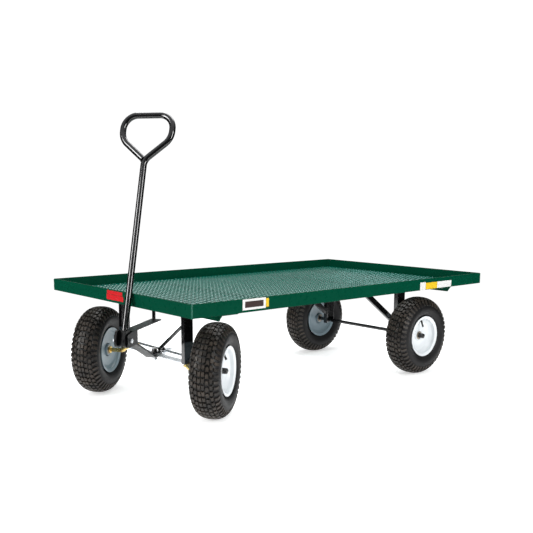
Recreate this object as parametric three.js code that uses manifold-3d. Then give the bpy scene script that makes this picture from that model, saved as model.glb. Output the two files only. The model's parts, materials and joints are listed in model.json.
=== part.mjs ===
// A four-wheeled steerable garden cart: an angle-iron deck with a mesh floor, front wheels that steer
// on kingpins through a yoke and tie rod, and a bent-rod pull handle. Millimetres, +X forward, +Z up.
// The front end is modelled turned to its left lock, with the handle leaning back on the front rail.

import * as THREE from 'three';
import { mergeVertices } from 'three/addons/utils/BufferGeometryUtils.js';
import Module from 'manifold-3d';

const wasm = await Module();
wasm.setup();

// ---------------------------------------------------------------- driving dimensions

const degrees = Math.PI / 180;
const gap = 0.3;
const jointGap = 0.4;

// How far a cutting tool stands out of what it cuts, or a piece reaches into the one it is joined to.
const overcut = 1;

const deck = { length: 1524, width: 914, top: 429.5, railHeight: 44.5, steel: 3.2 };
deck.bottom = deck.top - deck.railHeight;
const meshFloor = { thickness: 3, margin: 1 };

const crossMember = { frontX: 643, rearX: -557, depth: 22, flange: 66, steel: 3.2, halfLength: 450 };
crossMember.endSlope = 14;
crossMember.top = deck.bottom - gap;
crossMember.underside = crossMember.top - crossMember.steel;

const supportBar = { width: 44, frontX: 334, rearX: -252 };

// Half of the tyre's outside and inside, as [radius, y] from the bead to the shoulder; the hole is 157 across.
const tyre = { radius: 165, halfTread: 32, treadWall: 11, segments: 20 };
tyre.outside = [[78.5, 37], [88, 41], [104, 50], [126, 53], [148, 47]];
tyre.inside = [[118, 43]];

// The pressed rim's section as [radius, y], +y outboard, in the order the profile runs.
const rim = { segments: 16 };
rim.bowlBack = [[44, 9], [60, 13], [63, 10]];
rim.wellInside = [[63, -18], [74, -28]];
rim.dishInside = [[74, -35], [60, -30.5], [45, -28.5], [24.5, -27.5]];
rim.dish = [[24.5, -30.5], [45, -31.5], [60, -33.5], [71, -37.5], [74, -43]];
rim.innerFlange = [[86, -47], [86, -44], [77, -40]];
rim.well = [[77, -26], [66, -16], [66, 16], [77, 26]];
rim.outerFlange = [[77, 40], [86, 44], [86, 47]];
rim.bowl = [[74, 43], [74, 29], [64, 18], [45, 12.5]];

const hub = { radius: 22, bore: 17.7, inboard: 38, outboard: 18, webBack: 8, webFront: 11 };
const bearing = { radius: 16.9, bore: 8.6, width: 11, inset: 1 };
const axle = { radius: 7.94, height: tyre.radius, beyondHub: 8, collarRadius: 13, collarWidth: 6 };
const hubCap = { radius: 11, length: 25, chamfer: 4, segments: 12 };
const valveStem = { lean: 66 * degrees, radius: 65, outboard: 25 };
valveStem.profile = [[0, 0], [5, 0], [5, 4], [3.8, 8], [3.8, 29], [0, 29]];

const steering = { x: 603, lock: 35 * degrees, armLength: 85 };
const kingpin = { y: 199, top: 280, bend: 20, wheelOffset: 106 };
const rearWheel = { x: -521, y: 309 };

const frontLeg = { width: 36, inner: 195, outer: 215, steel: 3.5, bottom: 183 };
const kingpinLug = { bottom: 262, thickness: 5 };
const rearLeg = { width: 48, inner: 202, outer: 224, steel: 3.5, bottom: 151 };
const rearBrace = { width: 24, depth: 12, topX: -252, footX: -497, footZ: 207 };
const centreBrace = { radius: 6.35, footX: 18, footHeight: 9, top: 376 };
centreBrace.eye = { rear: -34, front: 14, width: 25 };
centreBrace.pad = { halfLength: 18, halfWidth: 12 };

const plate = 5;
const pivotBolt = { radius: 6.35, hole: 6.75, headWidth: 19, headHeight: 8, nutHeight: 10, proud: 3 };
const stack = { lever: 172, yoke: 177.4, strap: 182.8, brace: 188.2, nut: 193.6 };
const axleStrap = { halfWidth: 14, kingpinHole: 9.6 };
const steeringPost = { radius: 6.35, bottom: 301 };
const lever = { rear: -154, front: 14, width: 24 };

// The yoke's rising foot, as [reach, rise] of its underside and of its top.
const yoke = { armTop: 309, armRear: -22, armFront: 227, width: 38, bridgeDepth: 5, bridgeHeight: 4 };
yoke.footUnder = [[-18, 0], [32, 0], [70, 19], [206, 84]];
yoke.footOver = [[-18, 5], [31, 5.3], [68, 24.7], [203, 90]];
const handleBolt = { reach: 258.5, height: 281, boreHalfLength: 30, radius: 4.76, hole: 5.2, headWidth: 14.3 };
handleBolt.headHeight = 6;
handleBolt.nutHeight = 8;
handleBolt.proud = 4;
const cheek = { inner: 19.2, outer: 24.2, rear: 199, front: 279, drop: 21, cornerRadius: 12 };
cheek.rearChamfer = { length: 8, height: 4 };
cheek.frontShoulder = 6;

const handle = { radius: 11, lean: 18.6 * degrees, foot: -14, neck: 620, length: 783, sides: 4, seam: 0.5 };
const loop = { halfWidth: 90, shoulder: 697, topCorner: 50, sideCorner: 60, neckBend: 40 };
loop.endY = -4;
loop.endRise = 4;
const fork = { inner: 11.4, outer: 18.7, lobeRadius: 24, lobeForward: 9, webInner: 11.4, webOuter: 16.4 };
fork.webBottom = -20;
fork.cap = { bottom: 27, top: 32, rear: -15 };
fork.frontTop = 24;
fork.topFront = 19.4;

const steeringArm = { width: 22, hole: 5.2 };
const tieRod = { radius: 4.75, height: 182.3, eyeLength: 34, eyeWidth: 22 };
tieRod.relief = { halfWidth: 6, halfLength: 15 };

// ---------------------------------------------------------------- materials

function finish(color, roughness, metalness) {
  return new THREE.MeshStandardMaterial({ color, roughness, metalness });
}

const greenPaint = finish('#00583c', 0.3, 0.1);
const meshPaint = finish('#4f9a86', 0.35, 0.1);
const blackPaint = finish('#141416', 0.28, 0.1);
const zincPlate = finish('#b9bfc4', 0.3, 0.9);
const yellowZinc = finish('#c49a45', 0.3, 0.9);
const rubber = finish('#1c1b1a', 0.85, 0);
const whitePaint = finish('#e6ebee', 0.4, 0);
const blackPlastic = finish('#151515', 0.5, 0);
const bearingSteel = finish('#8f9498', 0.35, 0.9);

// ---------------------------------------------------------------- geometry helpers

function toSolid(geometry) {
  const bare = geometry.index ? geometry.clone() : geometry;
  bare.deleteAttribute('normal');
  bare.deleteAttribute('uv');
  const merged = mergeVertices(bare, 1e-4);
  const vertProperties = new Float32Array(merged.attributes.position.array);
  const triVerts = new Uint32Array(merged.index.array);
  return new wasm.Manifold(new wasm.Mesh({ numProp: 3, vertProperties, triVerts }));
}

function toGeometry(solid) {
  const mesh = solid.getMesh();
  const geometry = new THREE.BufferGeometry();
  geometry.setAttribute('position', new THREE.BufferAttribute(mesh.vertProperties.slice(), 3));
  geometry.setIndex(new THREE.BufferAttribute(mesh.triVerts.slice(), 1));
  geometry.computeVertexNormals();
  return geometry;
}

function join(first, ...others) {
  return toGeometry(others.reduce((solid, other) => solid.add(toSolid(other)), toSolid(first)));
}

function cut(first, ...tools) {
  return toGeometry(tools.reduce((solid, tool) => solid.subtract(toSolid(tool)), toSolid(first)));
}

// A box between two corners.
function block([x0, y0, z0], [x1, y1, z1]) {
  const geometry = new THREE.BoxGeometry(x1 - x0, y1 - y0, z1 - z0);
  return geometry.translate((x0 + x1) / 2, (y0 + y1) / 2, (z0 + z1) / 2);
}

// An upright cylinder from z0 to z1.
function post(radius, x, y, z0, z1, segments = 16) {
  const geometry = new THREE.CylinderGeometry(radius, radius, z1 - z0, segments);
  return geometry.rotateX(Math.PI / 2).translate(x, y, (z0 + z1) / 2);
}

// A tool for an upright round hole through whatever lies from z0 to z1.
function drill(radius, x, y, z0, z1, segments = 16) {
  return post(radius, x, y, z0 - overcut, z1 + overcut, segments);
}

// A cylinder along Y from y0 to y1.
function pinAcross(radius, x, z, y0, y1, segments = 16) {
  const geometry = new THREE.CylinderGeometry(radius, radius, y1 - y0, segments);
  return geometry.translate(x, (y0 + y1) / 2, z);
}

// A flat outline in X and Y, standing from z0 to z1.
function plateUp(shape, z0, z1, curveSegments = 8) {
  const settings = { depth: z1 - z0, bevelEnabled: false, curveSegments };
  return new THREE.ExtrudeGeometry(shape, settings).translate(0, 0, z0);
}

// A flat outline drawn in X and Z, running across from y0 to y1.
function plateAcross(shape, y0, y1, curveSegments = 8) {
  const settings = { depth: y1 - y0, bevelEnabled: false, curveSegments };
  return new THREE.ExtrudeGeometry(shape, settings).rotateX(Math.PI / 2).translate(0, y1, 0);
}

// Two distances from the middle plane as ordered Y values, side being +1 on the left and -1 on the right.
function span(side, near, far) {
  return [side * near, side * far].sort((a, b) => a - b);
}

function polygon(points) {
  return new THREE.Shape(points.map(([x, y]) => new THREE.Vector2(x, y)));
}

// A strap with two round ends, along X from x0 to x1.
function strapShape(x0, x1, width) {
  const r = width / 2;
  const shape = new THREE.Shape();
  shape.absarc(x1 - r, 0, r, -Math.PI / 2, Math.PI / 2, false);
  shape.absarc(x0 + r, 0, r, Math.PI / 2, Math.PI * 1.5, false);
  return shape;
}

// A closed ring turned about the Y axis from a profile of [radius, y] corners.
function turned(profile, segments) {
  const points = profile.map(([radius, y]) => new THREE.Vector2(radius, y));
  if (THREE.ShapeUtils.area(points) < 0) points.reverse();
  points.push(points[0].clone());
  return new THREE.LatheGeometry(points, segments, Math.PI / segments);
}

// A round rod bent along corner points, each inner corner with its own bend radius.
function bentPath(corners, bends) {
  const path = new THREE.CurvePath();
  let start = corners[0];
  for (let i = 1; i < corners.length - 1; i++) {
    const corner = corners[i];
    const back = corners[i - 1].clone().sub(corner).normalize();
    const ahead = corners[i + 1].clone().sub(corner).normalize();
    const half = back.angleTo(ahead) / 2;
    const reach = bends[i - 1] / Math.tan(half);
    const bendIn = corner.clone().addScaledVector(back, reach);
    const bendOut = corner.clone().addScaledVector(ahead, reach);
    path.add(new THREE.LineCurve3(start, bendIn));
    path.add(new RoundBend(corner, back, ahead, bends[i - 1]));
    start = bendOut;
  }
  path.add(new THREE.LineCurve3(start, corners.at(-1)));
  return path;
}

class RoundBend extends THREE.Curve {
  constructor(corner, back, ahead, radius) {
    super();
    const half = back.angleTo(ahead) / 2;
    const inward = back.clone().add(ahead).normalize();
    this.centre = corner.clone().addScaledVector(inward, radius / Math.sin(half));
    this.inward = inward;
    this.along = ahead.clone().sub(back).normalize();
    this.sweep = Math.PI / 2 - half;
    this.radius = radius;
  }

  getPoint(t, target = new THREE.Vector3()) {
    const angle = (2 * t - 1) * this.sweep;
    target.copy(this.centre).addScaledVector(this.inward, -this.radius * Math.cos(angle));
    return target.addScaledVector(this.along, this.radius * Math.sin(angle));
  }
}

function rod(path, radius, steps, curveSegments) {
  const section = new THREE.Shape().absarc(0, 0, radius, 0, Math.PI * 2, false);
  return new THREE.ExtrudeGeometry(section, { steps, curveSegments, bevelEnabled: false, extrudePath: path });
}

function straightRod(from, to, radius, curveSegments) {
  return rod(new THREE.LineCurve3(from, to), radius, 1, curveSegments);
}

function hexagon(width) {
  const radius = width / Math.sqrt(3);
  const corners = Array.from({ length: 6 }, (_, i) => i * 60 * degrees);
  return polygon(corners.map((angle) => [radius * Math.cos(angle), radius * Math.sin(angle)]));
}

// A bolt standing head down, the head's face at z0 and the shank's end at z1.
function boltShape({ radius, headWidth, headHeight }, z0, z1) {
  const head = plateUp(hexagon(headWidth), z0 - headHeight, z0);
  return join(head, post(radius, 0, 0, z0 - overcut, z1));
}

function nutShape({ radius, headWidth, nutHeight }, z0) {
  const nut = plateUp(hexagon(headWidth), z0, z0 + nutHeight);
  return cut(nut, drill(radius + gap, 0, 0, z0, z0 + nutHeight));
}

function addPart(parent, name, geometry, material) {
  const mesh = new THREE.Mesh(geometry, material);
  mesh.name = name;
  parent.add(mesh);
  return mesh;
}

function addGroup(parent, x, y, z) {
  const group = new THREE.Group();
  group.position.set(x, y, z);
  parent.add(group);
  return group;
}

// ---------------------------------------------------------------- deck

// An angle rail along X, its upright leg on the outside at +Y and its mitred ends cut at 45 degrees.
function mitredRail(length, outerY) {
  const { railHeight, steel, top, bottom } = deck;
  const inner = outerY - railHeight;
  const section = polygon([
    [outerY, bottom], [outerY, top], [outerY - steel, top],
    [outerY - steel, bottom + steel], [inner, bottom + steel], [inner, bottom],
  ]);
  const rail = new THREE.ExtrudeGeometry(section, { depth: length, bevelEnabled: false });
  rail.applyMatrix4(new THREE.Matrix4().set(0, 0, 1, -length / 2, 1, 0, 0, 0, 0, 1, 0, 0, 0, 0, 0, 1));
  const position = rail.attributes.position;
  for (let i = 0; i < position.count; i++) {
    const inset = outerY - position.getY(i) + gap / 2;
    position.setX(i, Math.sign(position.getX(i)) * (length / 2 - inset));
  }
  return rail;
}

function buildRails(cart) {
  const halfLength = deck.length / 2;
  const halfWidth = deck.width / 2;
  const quarter = Math.PI / 2;
  addPart(cart, 'left_rail', mitredRail(deck.length, halfWidth), greenPaint);
  addPart(cart, 'right_rail', mitredRail(deck.length, halfWidth).rotateZ(2 * quarter), greenPaint);
  addPart(cart, 'front_rail', mitredRail(deck.width, halfLength).rotateZ(-quarter), greenPaint);
  addPart(cart, 'rear_rail', mitredRail(deck.width, halfLength).rotateZ(quarter), greenPaint);
}

function buildFloor(cart) {
  const x = deck.length / 2 - deck.steel - meshFloor.margin;
  const y = deck.width / 2 - deck.steel - meshFloor.margin;
  const z = deck.bottom + deck.steel + gap;
  addPart(cart, 'mesh_floor', block([-x, -y, z], [x, y, z + meshFloor.thickness]), meshPaint);
}

// A cross angle under the side rails, its upright leg at x and chamfered at both ends.
function crossAngle(x, inward) {
  const { top, depth, steel, underside, endSlope, halfLength, flange } = crossMember;
  const bottom = top - depth;
  const face = polygon([
    [-halfLength, top], [-halfLength, underside], [endSlope - halfLength, bottom],
    [halfLength - endSlope, bottom], [halfLength, underside], [halfLength, top],
  ]);
  const upright = new THREE.ExtrudeGeometry(face, { depth: steel, bevelEnabled: false });
  upright.applyMatrix4(new THREE.Matrix4().set(0, 0, 1, x - steel / 2, 1, 0, 0, 0, 0, 1, 0, 0, 0, 0, 0, 1));
  const [x0, x1] = [x - inward * steel / 2, x + inward * flange].sort((a, b) => a - b);
  return join(upright, block([x0, -halfLength, underside], [x1, halfLength, top]));
}

function buildUnderframe(cart) {
  addPart(cart, 'front_cross_member', crossAngle(crossMember.frontX, -1), greenPaint);
  addPart(cart, 'rear_cross_member', crossAngle(crossMember.rearX, 1), greenPaint);
  const reach = deck.width / 2 - deck.railHeight - gap;
  const half = supportBar.width / 2;
  for (const [x, name] of [[supportBar.frontX, 'front_support_bar'], [supportBar.rearX, 'rear_support_bar']]) {
    const bar = block([x - half, -reach, deck.bottom], [x + half, reach, deck.bottom + deck.steel]);
    addPart(cart, name, bar, greenPaint);
  }
}

// ---------------------------------------------------------------- legs and braces

// An upright channel, its web at the outer face; side is +1 on the left and -1 on the right.
function legChannel({ width, inner, outer, steel, bottom }, x, side) {
  const top = crossMember.underside - gap;
  const half = width / 2;
  const hollowHalf = half - steel;
  const [y0, y1] = span(side, inner, outer);
  const [hollowY0, hollowY1] = span(side, inner - overcut, outer - steel);
  const body = block([x - half, y0, bottom], [x + half, y1, top]);
  const hollow = block([x - hollowHalf, hollowY0, bottom - overcut], [x + hollowHalf, hollowY1, top + overcut]);
  return cut(body, hollow);
}

// A leg with the bored lug that holds the top of the kingpin.
function frontLegShape(side) {
  const { x } = steering;
  const half = frontLeg.width / 2 - overcut;
  const [y0, y1] = span(side, frontLeg.inner + overcut, frontLeg.outer - overcut);
  const lugTop = kingpinLug.bottom + kingpinLug.thickness;
  const lug = block([x - half, y0, kingpinLug.bottom], [x + half, y1, lugTop]);
  const bore = drill(axle.radius + jointGap, x, side * kingpin.y, kingpinLug.bottom, lugTop);
  return join(legChannel(frontLeg, x, side), cut(lug, bore));
}

function axleStrapShape() {
  const { x } = steering;
  const { halfWidth, kingpinHole } = axleStrap;
  const reach = frontLeg.outer - frontLeg.steel - gap;
  const [z0, z1] = [stack.strap, stack.strap + plate];
  const bar = block([x - halfWidth, -reach, z0], [x + halfWidth, reach, z1]);
  const kingpinHoles = [-kingpin.y, kingpin.y].map((y) => drill(kingpinHole, x, y, z0, z1));
  return cut(bar, ...kingpinHoles, drill(pivotBolt.hole, x, 0, z0, z1));
}

// A round bar from the pivot bolt up to a pad under the front support bar.
function centreBraceShape() {
  const { x } = steering;
  const { eye, pad, radius, footX, footHeight } = centreBrace;
  const [z0, z1] = [stack.brace, stack.brace + plate];
  const eyePlate = plateUp(strapShape(eye.rear, eye.front, eye.width), z0, z1).translate(x, 0, 0);
  const foot = new THREE.Vector3(x - footX, 0, z0 + footHeight);
  const rise = new THREE.Vector3(supportBar.frontX, 0, centreBrace.top);
  const bar = straightRod(foot, rise, radius, 6);
  const padTop = deck.bottom - gap;
  const padPlate = block(
    [rise.x - pad.halfLength, -pad.halfWidth, padTop - plate],
    [rise.x + pad.halfLength, pad.halfWidth, padTop]);
  return cut(join(eyePlate, bar, padPlate), drill(pivotBolt.hole, x, 0, z0, z1));
}

function buildFrontSupports(cart) {
  const { x } = steering;
  addPart(cart, 'front_left_leg', frontLegShape(1), blackPaint);
  addPart(cart, 'front_right_leg', frontLegShape(-1), blackPaint);
  addPart(cart, 'axle_strap', axleStrapShape(), zincPlate);
  addPart(cart, 'centre_brace', centreBraceShape(), blackPaint);
  const top = crossMember.underside - gap;
  addPart(cart, 'steering_post', post(steeringPost.radius, x, 0, steeringPost.bottom, top), blackPaint);

  const shankTop = stack.nut + pivotBolt.nutHeight + pivotBolt.proud;
  const bolt = boltShape(pivotBolt, stack.lever - jointGap, shankTop);
  addPart(cart, 'pivot_bolt', bolt.translate(x, 0, 0), zincPlate);
  addPart(cart, 'pivot_nut', nutShape(pivotBolt, stack.nut).translate(x, 0, 0), blackPaint);
}

function rearLegShape(side) {
  const reach = rearLeg.outer + overcut;
  const hole = pinAcross(axle.radius + gap, rearWheel.x, axle.height, -reach, reach);
  return cut(legChannel(rearLeg, rearWheel.x, side), hole);
}

// A bar in an XZ plane that rises forward from the leg to the support bar.
function rearBraceShape(side) {
  const top = deck.bottom - gap;
  const slope = Math.atan2(top - rearBrace.footZ, rearBrace.topX - rearBrace.footX);
  const along = rearBrace.width / 2 / Math.sin(slope);
  const up = rearBrace.width / 2 / Math.cos(slope);
  const footX = rearWheel.x + rearLeg.width / 2 + gap;
  const footZ = rearBrace.footZ + (footX - rearBrace.footX) * Math.tan(slope);
  const outline = polygon([
    [footX, footZ - up], [rearBrace.topX + along, top], [rearBrace.topX - along, top], [footX, footZ + up],
  ]);
  const y = side * (rearLeg.inner + rearLeg.outer) / 2;
  return plateAcross(outline, y - rearBrace.depth / 2, y + rearBrace.depth / 2);
}

function buildRearAxle(cart) {
  for (const [side, name] of [[1, 'left'], [-1, 'right']]) {
    addPart(cart, `rear_${name}_leg`, rearLegShape(side), blackPaint);
    addPart(cart, `rear_${name}_brace`, rearBraceShape(side), blackPaint);
  }
  const reach = rearWheel.y + hub.outboard + axle.beyondHub;
  const bar = pinAcross(axle.radius, rearWheel.x, axle.height, -reach, reach);
  const inboard = rearWheel.y - hub.inboard - jointGap;
  const collars = [1, -1].map((side) => {
    const [y0, y1] = span(side, inboard - axle.collarWidth, inboard);
    return pinAcross(axle.collarRadius, rearWheel.x, axle.height, y0, y1);
  });
  addPart(cart, 'rear_axle', join(bar, ...collars), blackPaint);
}

// ---------------------------------------------------------------- wheels

function tyreProfile() {
  const crown = tyre.radius / Math.cos(Math.PI / tyre.segments);
  const outside = [...tyre.outside, [crown, tyre.halfTread]];
  const inside = [[crown - tyre.treadWall, tyre.halfTread - 3], ...tyre.inside];
  const mirrored = (points) => points.map(([r, y]) => [r, -y]);
  return [...outside, ...mirrored(outside).reverse(), ...mirrored(inside).reverse(), ...inside];
}

function rimProfile() {
  const { bore, radius, inboard, outboard, webBack, webFront } = hub;
  return [
    [bore, -inboard], [radius, -inboard], [radius, webBack],
    ...rim.bowlBack, ...rim.wellInside, ...rim.dishInside, ...rim.dish,
    ...rim.innerFlange, ...rim.well, ...rim.outerFlange, ...rim.bowl,
    [radius, webFront], [radius, outboard], [bore, outboard],
  ];
}

// Everything that spins on one axle; +Y points outboard on the left side.
function buildWheel(parent, name, side) {
  const spin = addGroup(parent, 0, 0, 0);
  const flip = side > 0 ? 0 : Math.PI;
  const place = (geometry) => geometry.rotateZ(flip);
  addPart(spin, `${name}_tyre`, place(turned(tyreProfile(), tyre.segments)), rubber);
  addPart(spin, `${name}_rim`, place(turned(rimProfile(), rim.segments)), whitePaint);

  const { radius, bore, width, inset } = bearing;
  const ring = (y) => turned([[bore, y], [radius, y], [radius, y + width], [bore, y + width]], 12);
  addPart(spin, `${name}_outer_bearing`, place(ring(hub.outboard - inset - width)), bearingSteel);
  addPart(spin, `${name}_inner_bearing`, place(ring(inset - hub.inboard)), bearingSteel);

  const stem = new THREE.LatheGeometry(valveStem.profile.map(([r, y]) => new THREE.Vector2(r, y)), 8);
  stem.rotateX(-valveStem.lean).translate(0, valveStem.outboard, valveStem.radius);
  addPart(spin, `${name}_valve_stem`, place(stem), rubber);
  return spin;
}

// The cap on the end of the axle, which stays still with it.
function capShape(side) {
  const { radius, length, chamfer, segments } = hubCap;
  const start = hub.outboard + jointGap;
  const end = start + length;
  const bore = axle.radius + gap;
  const boreEnd = start + axle.beyondHub;
  const profile = [
    [0, boreEnd], [bore, boreEnd], [bore, start], [radius, start],
    [radius, end - chamfer], [radius - chamfer, end], [0, end],
  ];
  const cap = new THREE.LatheGeometry(profile.map(([r, y]) => new THREE.Vector2(r, y)), segments);
  return cap.rotateZ(side > 0 ? 0 : Math.PI);
}

function buildRearWheels(cart) {
  for (const [side, name] of [[1, 'rear_left'], [-1, 'rear_right']]) {
    const centre = addGroup(cart, rearWheel.x, side * rearWheel.y, axle.height);
    buildWheel(centre, name, side);
    addPart(centre, `${name}_hub_cap`, capShape(side), blackPlastic);
  }
}

// ---------------------------------------------------------------- front knuckles

// One bent rod: the kingpin at the top, the wheel's spindle at the bottom, and the steering arm.
function stubAxleShape(side) {
  const spindle = kingpin.wheelOffset + hub.outboard + axle.beyondHub;
  const path = bentPath([
    new THREE.Vector3(0, 0, kingpin.top), new THREE.Vector3(0, 0, axle.height),
    new THREE.Vector3(0, side * spindle, axle.height),
  ], [kingpin.bend]);
  const bar = rod(path, axle.radius, 12, 5);
  const inboard = kingpin.wheelOffset - hub.inboard - jointGap;
  const [y0, y1] = span(side, inboard - axle.collarWidth, inboard);
  const collar = pinAcross(axle.collarRadius, 0, axle.height, y0, y1, 12);
  const { armLength } = steering;
  const { width, hole } = steeringArm;
  const [z0, z1] = [stack.lever, stack.lever + plate];
  const arm = plateUp(strapShape(-armLength - width / 2, width / 2, width), z0, z1, 6);
  return cut(join(bar, collar, arm), drill(hole, -armLength, 0, z0, z1, 12));
}

function buildKnuckle(cart, side, name) {
  const knuckle = addGroup(cart, steering.x, side * kingpin.y, 0);
  knuckle.rotation.z = steering.lock;
  addPart(knuckle, `${name}_stub_axle`, stubAxleShape(side), yellowZinc);
  const centre = addGroup(knuckle, 0, side * kingpin.wheelOffset, axle.height);
  buildWheel(centre, name, side);
  addPart(centre, `${name}_hub_cap`, capShape(side), blackPlastic);
}

// ---------------------------------------------------------------- yoke, handle and tie rod

// A tool for the handle bolt's hole, through everything between the cheeks.
function boltBore(x, z) {
  const { hole, boreHalfLength } = handleBolt;
  return pinAcross(hole, x, z, -boreHalfLength, boreHalfLength, 12);
}

// One cheek's outline beside the handle bolt, with a rounded front and a sloping rear corner.
function cheekOutline() {
  const { rear, front, drop, cornerRadius, rearChamfer, frontShoulder } = cheek;
  const bottom = handleBolt.height - drop;
  const shape = new THREE.Shape();
  shape.moveTo(rear, bottom + rearChamfer.height);
  shape.lineTo(rear + rearChamfer.length, bottom);
  shape.lineTo(front - cornerRadius, bottom);
  shape.absarc(front - cornerRadius, bottom + cornerRadius, cornerRadius, -Math.PI / 2, 0, false);
  shape.lineTo(front, yoke.armTop - frontShoulder);
  shape.lineTo(yoke.armFront, yoke.armTop);
  shape.lineTo(rear, yoke.armTop);
  return shape;
}

// A flat arm above, a rising foot below, and the two cheeks that hold the handle's fork.
function yokeShape() {
  const { armTop, armRear, armFront, bridgeDepth, bridgeHeight, footUnder, footOver } = yoke;
  const half = yoke.width / 2;
  const armBottom = armTop - plate;
  const cheekHalf = cheek.outer - overcut;
  const arm = block([armRear, -half, armBottom], [armFront, half, armTop]);
  const shoulder = block([cheek.rear + overcut, -cheekHalf, armBottom], [armFront, cheekHalf, armTop]);
  const onFoot = ([reach, rise]) => [reach, stack.yoke + rise];
  const foot = plateAcross(polygon([...footUnder.map(onFoot), ...footOver.map(onFoot).reverse()]), -half, half);
  const noseZ = stack.yoke + footUnder.at(-1)[1];
  const bridge = block(
    [cheek.rear + overcut, -cheekHalf, noseZ],
    [cheek.rear + overcut + bridgeDepth, cheekHalf, noseZ + bridgeHeight]);
  const cheeks = [1, -1].map((side) => plateAcross(cheekOutline(), ...span(side, cheek.inner, cheek.outer), 6));
  return cut(join(arm, shoulder, ...cheeks, foot, bridge),
    drill(pivotBolt.hole, 0, 0, stack.yoke, stack.yoke + plate),
    drill(pivotBolt.hole, 0, 0, armBottom, armTop),
    boltBore(handleBolt.reach, handleBolt.height));
}

function leverShape() {
  const [z0, z1] = [stack.lever, stack.lever + plate];
  return cut(plateUp(strapShape(lever.rear, lever.front, lever.width), z0, z1),
    drill(pivotBolt.hole, 0, 0, z0, z1),
    drill(steeringArm.hole, -steering.armLength, 0, z0, z1, 12));
}

function buildYoke(cart) {
  const turn = addGroup(cart, steering.x, 0, 0);
  turn.rotation.z = steering.lock;
  addPart(turn, 'yoke', yokeShape(), blackPaint);
  addPart(turn, 'steering_lever', leverShape(), zincPlate);

  // The handle's bolt lies across the cheeks, its head on the left and its nut on the right.
  const across = addGroup(turn, handleBolt.reach, 0, handleBolt.height);
  const face = cheek.outer + gap;
  const bolt = boltShape(handleBolt, -face, face + handleBolt.nutHeight + handleBolt.proud);
  addPart(across, 'handle_bolt', bolt.rotateX(Math.PI / 2), zincPlate);
  addPart(across, 'handle_nut', nutShape(handleBolt, face).rotateX(Math.PI / 2), zincPlate);

  const lean = addGroup(across, 0, 0, 0);
  lean.rotation.y = -handle.lean;
  addPart(lean, 'handle', handleShape(), blackPaint);
  addPart(lean, 'handle_fork', forkShape(), blackPaint);
}

// The shank runs up Z and bends into a loop in the YZ plane; the rod's end meets the neck again.
function handleShape() {
  const { foot, neck, length, radius, sides, seam } = handle;
  const { halfWidth, shoulder, topCorner, sideCorner, neckBend, endY, endRise } = loop;
  const at = (y, z) => new THREE.Vector3(0, y, z);
  const main = bentPath(
    [at(0, foot), at(0, neck), at(halfWidth, shoulder), at(halfWidth, length), at(0, length)],
    [neckBend, sideCorner, topCorner]);
  const returning = bentPath(
    [at(seam, length), at(-halfWidth, length), at(-halfWidth, shoulder), at(endY, neck + endRise)],
    [topCorner, sideCorner]);
  const bent = join(rod(main, radius, 44, sides), rod(returning, radius, 18, sides));
  return cut(bent, boltBore(0, 0));
}

// Two rounded lobes with a web between them, welded round the foot of the shank.
function forkShape() {
  const { inner, outer, lobeRadius, lobeForward, webInner, webOuter, cap } = fork;
  const lobe = new THREE.Shape();
  lobe.absarc(lobeForward, 0, lobeRadius, Math.PI, 2 * Math.PI, false);
  lobe.lineTo(lobeForward + lobeRadius, fork.frontTop);
  lobe.lineTo(fork.topFront, cap.top);
  lobe.lineTo(cap.rear, cap.top);
  const lobes = [1, -1].map((side) => plateAcross(lobe, ...span(side, inner, outer), 6));
  const half = inner + overcut;
  const web = block([webInner, -half, fork.webBottom], [webOuter, half, cap.top]);
  const capPlate = block([cap.rear, -half, cap.bottom], [webOuter, half, cap.top]);
  const shankHole = drill(handle.radius + gap, 0, 0, cap.bottom, cap.top);
  return cut(join(web, ...lobes, capPlate), boltBore(0, 0), shankHole);
}

// The rod lies on the lever and the steering arms by three flattened eyes, each on its own pin.
function tieRodShape() {
  const { radius, height, eyeLength, eyeWidth, relief } = tieRod;
  const places = [-kingpin.y, 0, kingpin.y];
  const bottom = stack.lever + plate + jointGap;
  const top = bottom + plate;
  const bar = pinAcross(radius, 0, height, -kingpin.y, kingpin.y, 12);
  const outline = strapShape(-eyeLength / 2, eyeLength / 2, eyeWidth);
  const eyes = places.map((y) => plateUp(outline, bottom, top, 6).rotateZ(Math.PI / 2).translate(0, y, 0));
  const reliefs = places.map((y) => block(
    [-relief.halfWidth, y - relief.halfLength, top],
    [relief.halfWidth, y + relief.halfLength, height + radius + overcut]));
  const holes = places.map((y) => drill(steeringArm.hole, 0, y, bottom, top, 12));
  return cut(join(bar, ...eyes), ...reliefs, ...holes);
}

// The rod with a bolt through each of its eyes; the outer two stand in the steering arms.
function buildTieRod(cart) {
  const { x, lock, armLength } = steering;
  const link = addGroup(cart, x - armLength * Math.cos(lock), -armLength * Math.sin(lock), 0);
  addPart(link, 'tie_rod', tieRodShape(), zincPlate);
  const headTop = stack.lever - gap;
  const eyeTop = stack.lever + 2 * (plate + jointGap);
  const shankTop = eyeTop + handleBolt.nutHeight + handleBolt.proud;
  for (const [y, name] of [[0, 'lever'], [kingpin.y, 'left_arm'], [-kingpin.y, 'right_arm']]) {
    const turn = addGroup(link, 0, y, 0);
    turn.rotation.z = lock;
    addPart(turn, `${name}_bolt`, boltShape(handleBolt, headTop, shankTop), zincPlate);
    if (name === 'lever') addPart(turn, 'lever_nut', nutShape(handleBolt, eyeTop), blackPaint);
  }
}

// ---------------------------------------------------------------- assembly

const cart = new THREE.Group();
buildRails(cart);
buildFloor(cart);
buildUnderframe(cart);
buildFrontSupports(cart);
buildRearAxle(cart);
buildRearWheels(cart);
buildKnuckle(cart, 1, 'front_left');
buildKnuckle(cart, -1, 'front_right');
buildYoke(cart);
buildTieRod(cart);

// The origin is on the ground, under the middle of the cart's whole length.
const middle = new THREE.Box3().setFromObject(cart, true).getCenter(new THREE.Vector3());
cart.position.x = -middle.x;

export default cart;
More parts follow.
